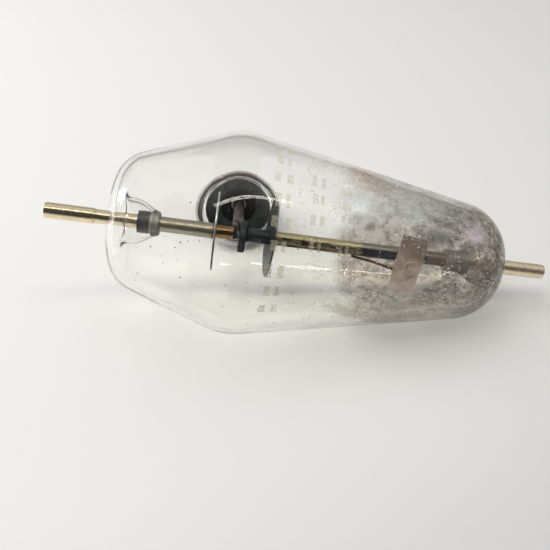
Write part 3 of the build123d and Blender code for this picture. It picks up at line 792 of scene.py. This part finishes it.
# ---- Worn marks on the glass: plain dashes with no meaning ----
MARK_LIFT = 0.012  # over the glass
DASH_WIDTH = 0.34  # of a row's width; each mark is two dashes side by side
SECOND_DASH = 0.66
STAGGER = 0.1
LONG_DASH = 0.6  # of the step from mark to mark
SHORT_DASH = 0.46
MARK_ROWS = (  # station, width, first angle in degrees, step in degrees, count
    (5.7, 3.4, 104.0, 12.2, 9),
    (12.6, 2.6, 124.0, 12.5, 4),
    (18.3, 1.9, 110.0, 9.0, 7),
)
outer_line, _ = with_patch(bulb_side(0.0, stem_bore))
cone = outer_line[(outer_line[:, 0] > 2) & (outer_line[:, 0] < 40)]
marks = Mesh()


def dash(station, width, angle, sweep):
    """One dash: width along the tube, sweep round it, both in the tube's frame."""
    rows = []
    for x in np.linspace(station, station + width, 4):
        radius = float(np.interp(x, cone[:, 0], cone[:, 1]))
        row = []
        for turn in np.linspace(angle, angle + sweep, 9):
            y, z = radius * cos(turn), radius * sin(turn)
            lift = 1 + (MARK_LIFT - waver((x, y, z), *OUTER_WAVE)) / radius
            row.append(marks.add(x, y * lift, z * lift))
        rows.append(row)
    for a, b in zip(rows, rows[1:]):
        marks.strip(a, b, closed=False)


for row_station, width, first_angle, step, count in MARK_ROWS:
    for k in range(count):
        turn = radians(first_angle + k * step)
        sweep = radians(step * (SHORT_DASH if k % 3 else LONG_DASH))
        shift = width * STAGGER * (k % 2)
        dash(row_station + shift, width * DASH_WIDTH, turn, sweep)
        dash(row_station + width * SECOND_DASH, width * DASH_WIDTH - shift, turn, sweep)
marks.build("print_marks", worn_ink())

# ---- A few specks of dust on the upper side of the glass ----
DUST_TRIES = 90
DUST_REACH = 17  # no speck farther than this from the ridge
DUST_CORNERS = (0, 1.9, 3.3, 4.9)  # uneven four-sided flakes, in radians
dust_metal = plain_metal("dust", (0.12, 0.1, 0.08), (0.04, 0.035, 0.03), 0.8, 0.0)
dust = Mesh()
chance = np.random.default_rng(7)
between_stems = outer_line[20:-60]
for _ in range(DUST_TRIES):
    station = chance.uniform(-20, 12)
    turn = radians(chance.uniform(150, 235))
    length = chance.uniform(0.08, 0.19)
    spin = chance.uniform(0, pi)
    if abs(station) > DUST_REACH:
        continue
    radius = float(np.interp(station, between_stems[:, 0], between_stems[:, 1]))
    slope = -tan(NARROW_CONE) if station > 2 else tan(WIDE_CONE)
    corners = []
    for corner_turn in DUST_CORNERS:
        dx = length * cos(spin + corner_turn)
        dt = length * sin(spin + corner_turn) / radius
        y, z = radius * cos(turn + dt), radius * sin(turn + dt)
        lift = 1 + (MARK_LIFT + slope * dx - waver((station, y, z), *OUTER_WAVE)) / radius
        corners.append(dust.add(station + dx, y * lift, z * lift))
    dust.faces.append(tuple(corners))
dust.build("dust_specks", dust_metal)

# ---- Floor ----
FLOOR_SIZE = 4  # metres
bpy.ops.mesh.primitive_plane_add(size=FLOOR_SIZE)
floor = bpy.context.object
floor.name = "floor"
floor.data.materials.append(pale_floor())


# ---- Lights: a window on the left, a long lamp overhead and a small side lamp. Metres and watts ----
def softbox(name, place, target, size, power, color=(1, 1, 1), spin=0.0):
    light = bpy.data.lights.new(name, "AREA")
    light.shape = "RECTANGLE"
    light.size, light.size_y = size
    light.energy = power
    light.color = color
    obj = bpy.data.objects.new(name, light)
    obj.location = place
    facing = (Vector(target) - Vector(place)).to_track_quat("-Z", "Y").to_matrix()
    obj.rotation_euler = (facing @ Matrix.Rotation(spin, 3, "Z")).to_euler()
    bpy.context.scene.collection.objects.link(obj)
    return obj


WARM_WHITE = (1.0, 0.985, 0.965)
LAMP_YELLOW = (1.0, 0.99, 0.84)
window = softbox("window", (-0.24, 0.035, 0.44), (-0.01, 0, 0), (0.36, 0.36), 1.42, WARM_WHITE)
window.visible_glossy = False  # it lights the scene, and doesn't show in the glass
window.visible_transmission = False
softbox("lamp", (0.05, -0.12, 1.1), (0, 0, 0), (1.4, 0.035), 2.0, LAMP_YELLOW, radians(-14))
softbox("side_lamp", (-0.52, 0.15, 0.26), (0, 0, 0.02), (0.14, 0.2), 0.7)


# ---- The room: brighter overhead than at the horizon, with a dark side above and behind the camera ----
DARK_SIDE = (0.0, -0.72, 0.69)
world = bpy.data.worlds.new("room")
world.use_nodes = True
bpy.context.scene.world = world
tree = world.node_tree
tree.nodes.clear()


def room_ramp(value, start, end, first, last):
    """A smooth ramp from first at start to last at end."""
    node = tree.nodes.new("ShaderNodeMapRange")
    node.interpolation_type = "SMOOTHSTEP"
    tree.links.new(value, node.inputs["Value"])
    for key, number in (("From Min", start), ("From Max", end), ("To Min", first), ("To Max", last)):
        node.inputs[key].default_value = number
    return node.outputs[0]


coordinate = tree.nodes.new("ShaderNodeTexCoord").outputs["Generated"]
split = tree.nodes.new("ShaderNodeSeparateXYZ")
tree.links.new(coordinate, split.inputs[0])
tone = room_ramp(split.outputs["Z"], -0.1, 0.9, 0.24, 0.6)
facing = tree.nodes.new("ShaderNodeVectorMath")
facing.operation = "DOT_PRODUCT"
tree.links.new(coordinate, facing.inputs[0])
facing.inputs[1].default_value = DARK_SIDE
shade = room_ramp(facing.outputs["Value"], 0.55, 0.86, 1.0, 0.1)
dimmed = tree.nodes.new("ShaderNodeMath")
dimmed.operation = "MULTIPLY"
tree.links.new(tone, dimmed.inputs[0])
tree.links.new(shade, dimmed.inputs[1])
background = tree.nodes.new("ShaderNodeBackground")
tree.links.new(dimmed.outputs[0], background.inputs["Strength"])
background.inputs["Color"].default_value = (*WARM_WHITE, 1)
world_output = tree.nodes.new("ShaderNodeOutputWorld")
tree.links.new(background.outputs[0], world_output.inputs["Surface"])

# ---- Camera ----
CAMERA_PLACE = Vector((-5.17, -86.87, 98.75)) * MM
ELEVATION = radians(48.51)  # looking down
YAW = radians(-1.06)
ROLL = radians(-0.76)
LENS = 36  # on a sensor as wide, so the view is as wide as it is far
forward = Vector((sin(YAW) * cos(ELEVATION), cos(YAW) * cos(ELEVATION), -sin(ELEVATION)))
level = Vector((cos(YAW), -sin(YAW), 0))
upright = level.cross(forward)
right = level * cos(ROLL) + upright * sin(ROLL)
up = upright * cos(ROLL) - level * sin(ROLL)
camera_data = bpy.data.cameras.new("camera")
camera_data.lens = LENS
camera_data.sensor_width = LENS
camera_data.clip_start = MM
camera_data.dof.use_dof = False
camera = bpy.data.objects.new("camera", camera_data)
camera_matrix = Matrix((right, up, -forward)).transposed().to_4x4()
camera_matrix.translation = CAMERA_PLACE
camera.matrix_world = camera_matrix
bpy.context.scene.collection.objects.link(camera)
bpy.context.scene.camera = camera
bpy.context.scene.view_settings.view_transform = "Standard"
